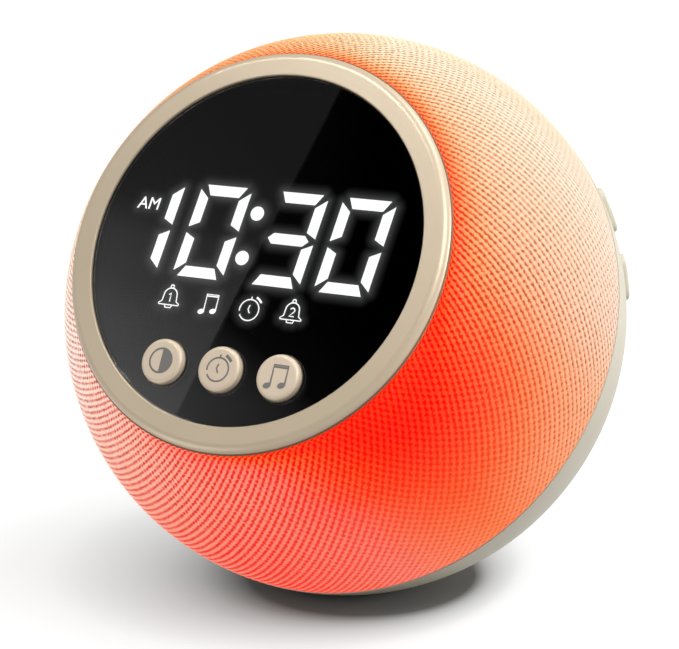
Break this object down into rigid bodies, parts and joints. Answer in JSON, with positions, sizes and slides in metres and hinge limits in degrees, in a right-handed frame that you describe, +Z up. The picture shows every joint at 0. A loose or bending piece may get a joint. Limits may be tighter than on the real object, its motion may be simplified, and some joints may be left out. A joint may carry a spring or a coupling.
{
  "type": "sunrise alarm clock",
  "caption": "Ball-shaped sunrise alarm clock with a tilted round digital display, front buttons, a glowing fabric shell and a plain rear cover on a flat foot.",
  "frame": {"origin": "middle of the rubber foot's underside, on the surface that the clock stands on", "axes": "+Z up, the face looks along -Y and leans back by 29 degrees, +X to the right of someone facing the clock"},
  "size_m": [0.114, 0.113, 0.1124],
  "materials": {
    "champagne_plastic": "satin champagne paint",
    "button_plastic": "satin champagne paint",
    "smoked_lens": "polished smoked acrylic",
    "lit_white": "lit white segments",
    "black_plastic": "matt black",
    "white_plastic": "matt white",
    "board_green": "solder mask",
    "board_white": "white solder mask",
    "led_lens": "clear lens over phosphor",
    "milky_plastic": "translucent milky",
    "glowing_fabric": "plain weave, lit from behind",
    "beige_plastic": "fine matt",
    "foot_rubber": "matt silicone",
    "foam_gasket": "closed foam",
    "speaker_steel": "black",
    "magnet_steel": "zinc plated",
    "speaker_rubber": "soft",
    "cone_paper": "pressed paper",
    "coil_copper": "copper wire",
    "screw_steel": "zinc plated",
    "inlet_steel": "nickel plated",
    "cell_steel": "nickel plated",
    "lead_plastic": "wire insulation"
  },
  "bodies": {
    "case": {"front_bezel": "champagne_plastic", "display_lens": "smoked_lens", "display_digits": "lit_white", "display_housing": "black_plastic", "front_switches": "black_plastic", "side_switches_right": "black_plastic", "side_switches_left": "black_plastic", "board_chips": "black_plastic", "inlet_tongue": "black_plastic", "chassis": "white_plastic", "board_connectors": "white_plastic", "main_board": "board_green", "side_board_right": "board_green", "side_board_left": "board_green", "inlet_board": "board_green", "led_ring_board": "board_white", "ring_leds": "led_lens", "diffuser_shell": "milky_plastic", "fabric_cover": "glowing_fabric", "rear_cover": "beige_plastic", "battery_door": "beige_plastic", "rubber_foot": "foot_rubber", "speaker_gasket": "foam_gasket", "speaker_frame": "speaker_steel", "speaker_magnet": "magnet_steel", "speaker_surround": "speaker_rubber", "front_screws": "screw_steel", "ring_screws": "screw_steel", "cover_screws": "screw_steel", "speaker_screws": "screw_steel", "side_board_screws": "screw_steel", "inlet_screws": "screw_steel", "battery_door_screw": "screw_steel", "inlet_shell": "inlet_steel", "coin_cell": "cell_steel", "cell_contacts": "cell_steel", "speaker_lead": "lead_plastic", "inlet_lead": "lead_plastic", "side_lead_right": "lead_plastic", "side_lead_left": "lead_plastic", "cell_lead": "lead_plastic", "led_ring_lead": "lead_plastic"},
    "brightness_key": {"button_brightness": "button_plastic", "plunger_brightness": "white_plastic"},
    "timer_key": {"button_timer": "button_plastic", "plunger_timer": "white_plastic"},
    "music_key": {"button_music": "button_plastic", "plunger_music": "white_plastic"},
    "volume_up_key": {"volume_up_button": "beige_plastic", "volume_up_plunger": "white_plastic"},
    "volume_down_key": {"volume_down_button": "beige_plastic", "volume_down_plunger": "white_plastic"},
    "alarm_one_key": {"alarm_one_button": "beige_plastic", "alarm_one_plunger": "white_plastic"},
    "alarm_two_key": {"alarm_two_button": "beige_plastic", "alarm_two_plunger": "white_plastic"},
    "cone": {"speaker_cone": "cone_paper", "voice_coil": "coil_copper"}
  },
  "joints": [
    {"name": "brightness_press", "type": "slide", "parent": "case", "child": "brightness_key", "axis": [0, 0.8746, -0.4848], "range_m": [0, 0.0005], "stiffness_N_per_m": 3000},
    {"name": "timer_press", "type": "slide", "parent": "case", "child": "timer_key", "axis": [0, 0.8746, -0.4848], "range_m": [0, 0.0005], "stiffness_N_per_m": 3000},
    {"name": "music_press", "type": "slide", "parent": "case", "child": "music_key", "axis": [0, 0.8746, -0.4848], "range_m": [0, 0.0005], "stiffness_N_per_m": 3000},
    {"name": "volume_up_press", "type": "slide", "parent": "case", "child": "volume_up_key", "axis": [-0.825, -0.5088, -0.2459], "range_m": [0, 0.0005], "stiffness_N_per_m": 3000},
    {"name": "volume_down_press", "type": "slide", "parent": "case", "child": "volume_down_key", "axis": [-0.825, -0.5088, -0.2459], "range_m": [0, 0.0005], "stiffness_N_per_m": 3000},
    {"name": "alarm_one_press", "type": "slide", "parent": "case", "child": "alarm_one_key", "axis": [0.825, -0.5088, -0.2459], "range_m": [0, 0.0005], "stiffness_N_per_m": 3000},
    {"name": "alarm_two_press", "type": "slide", "parent": "case", "child": "alarm_two_key", "axis": [0.825, -0.5088, -0.2459], "range_m": [0, 0.0005], "stiffness_N_per_m": 3000},
    {"name": "cone_move", "type": "slide", "parent": "case", "child": "cone", "axis": [0, 0.9903, 0.1386], "range_m": [-0.0004, 0.0004], "stiffness_N_per_m": 1500}
  ]
}
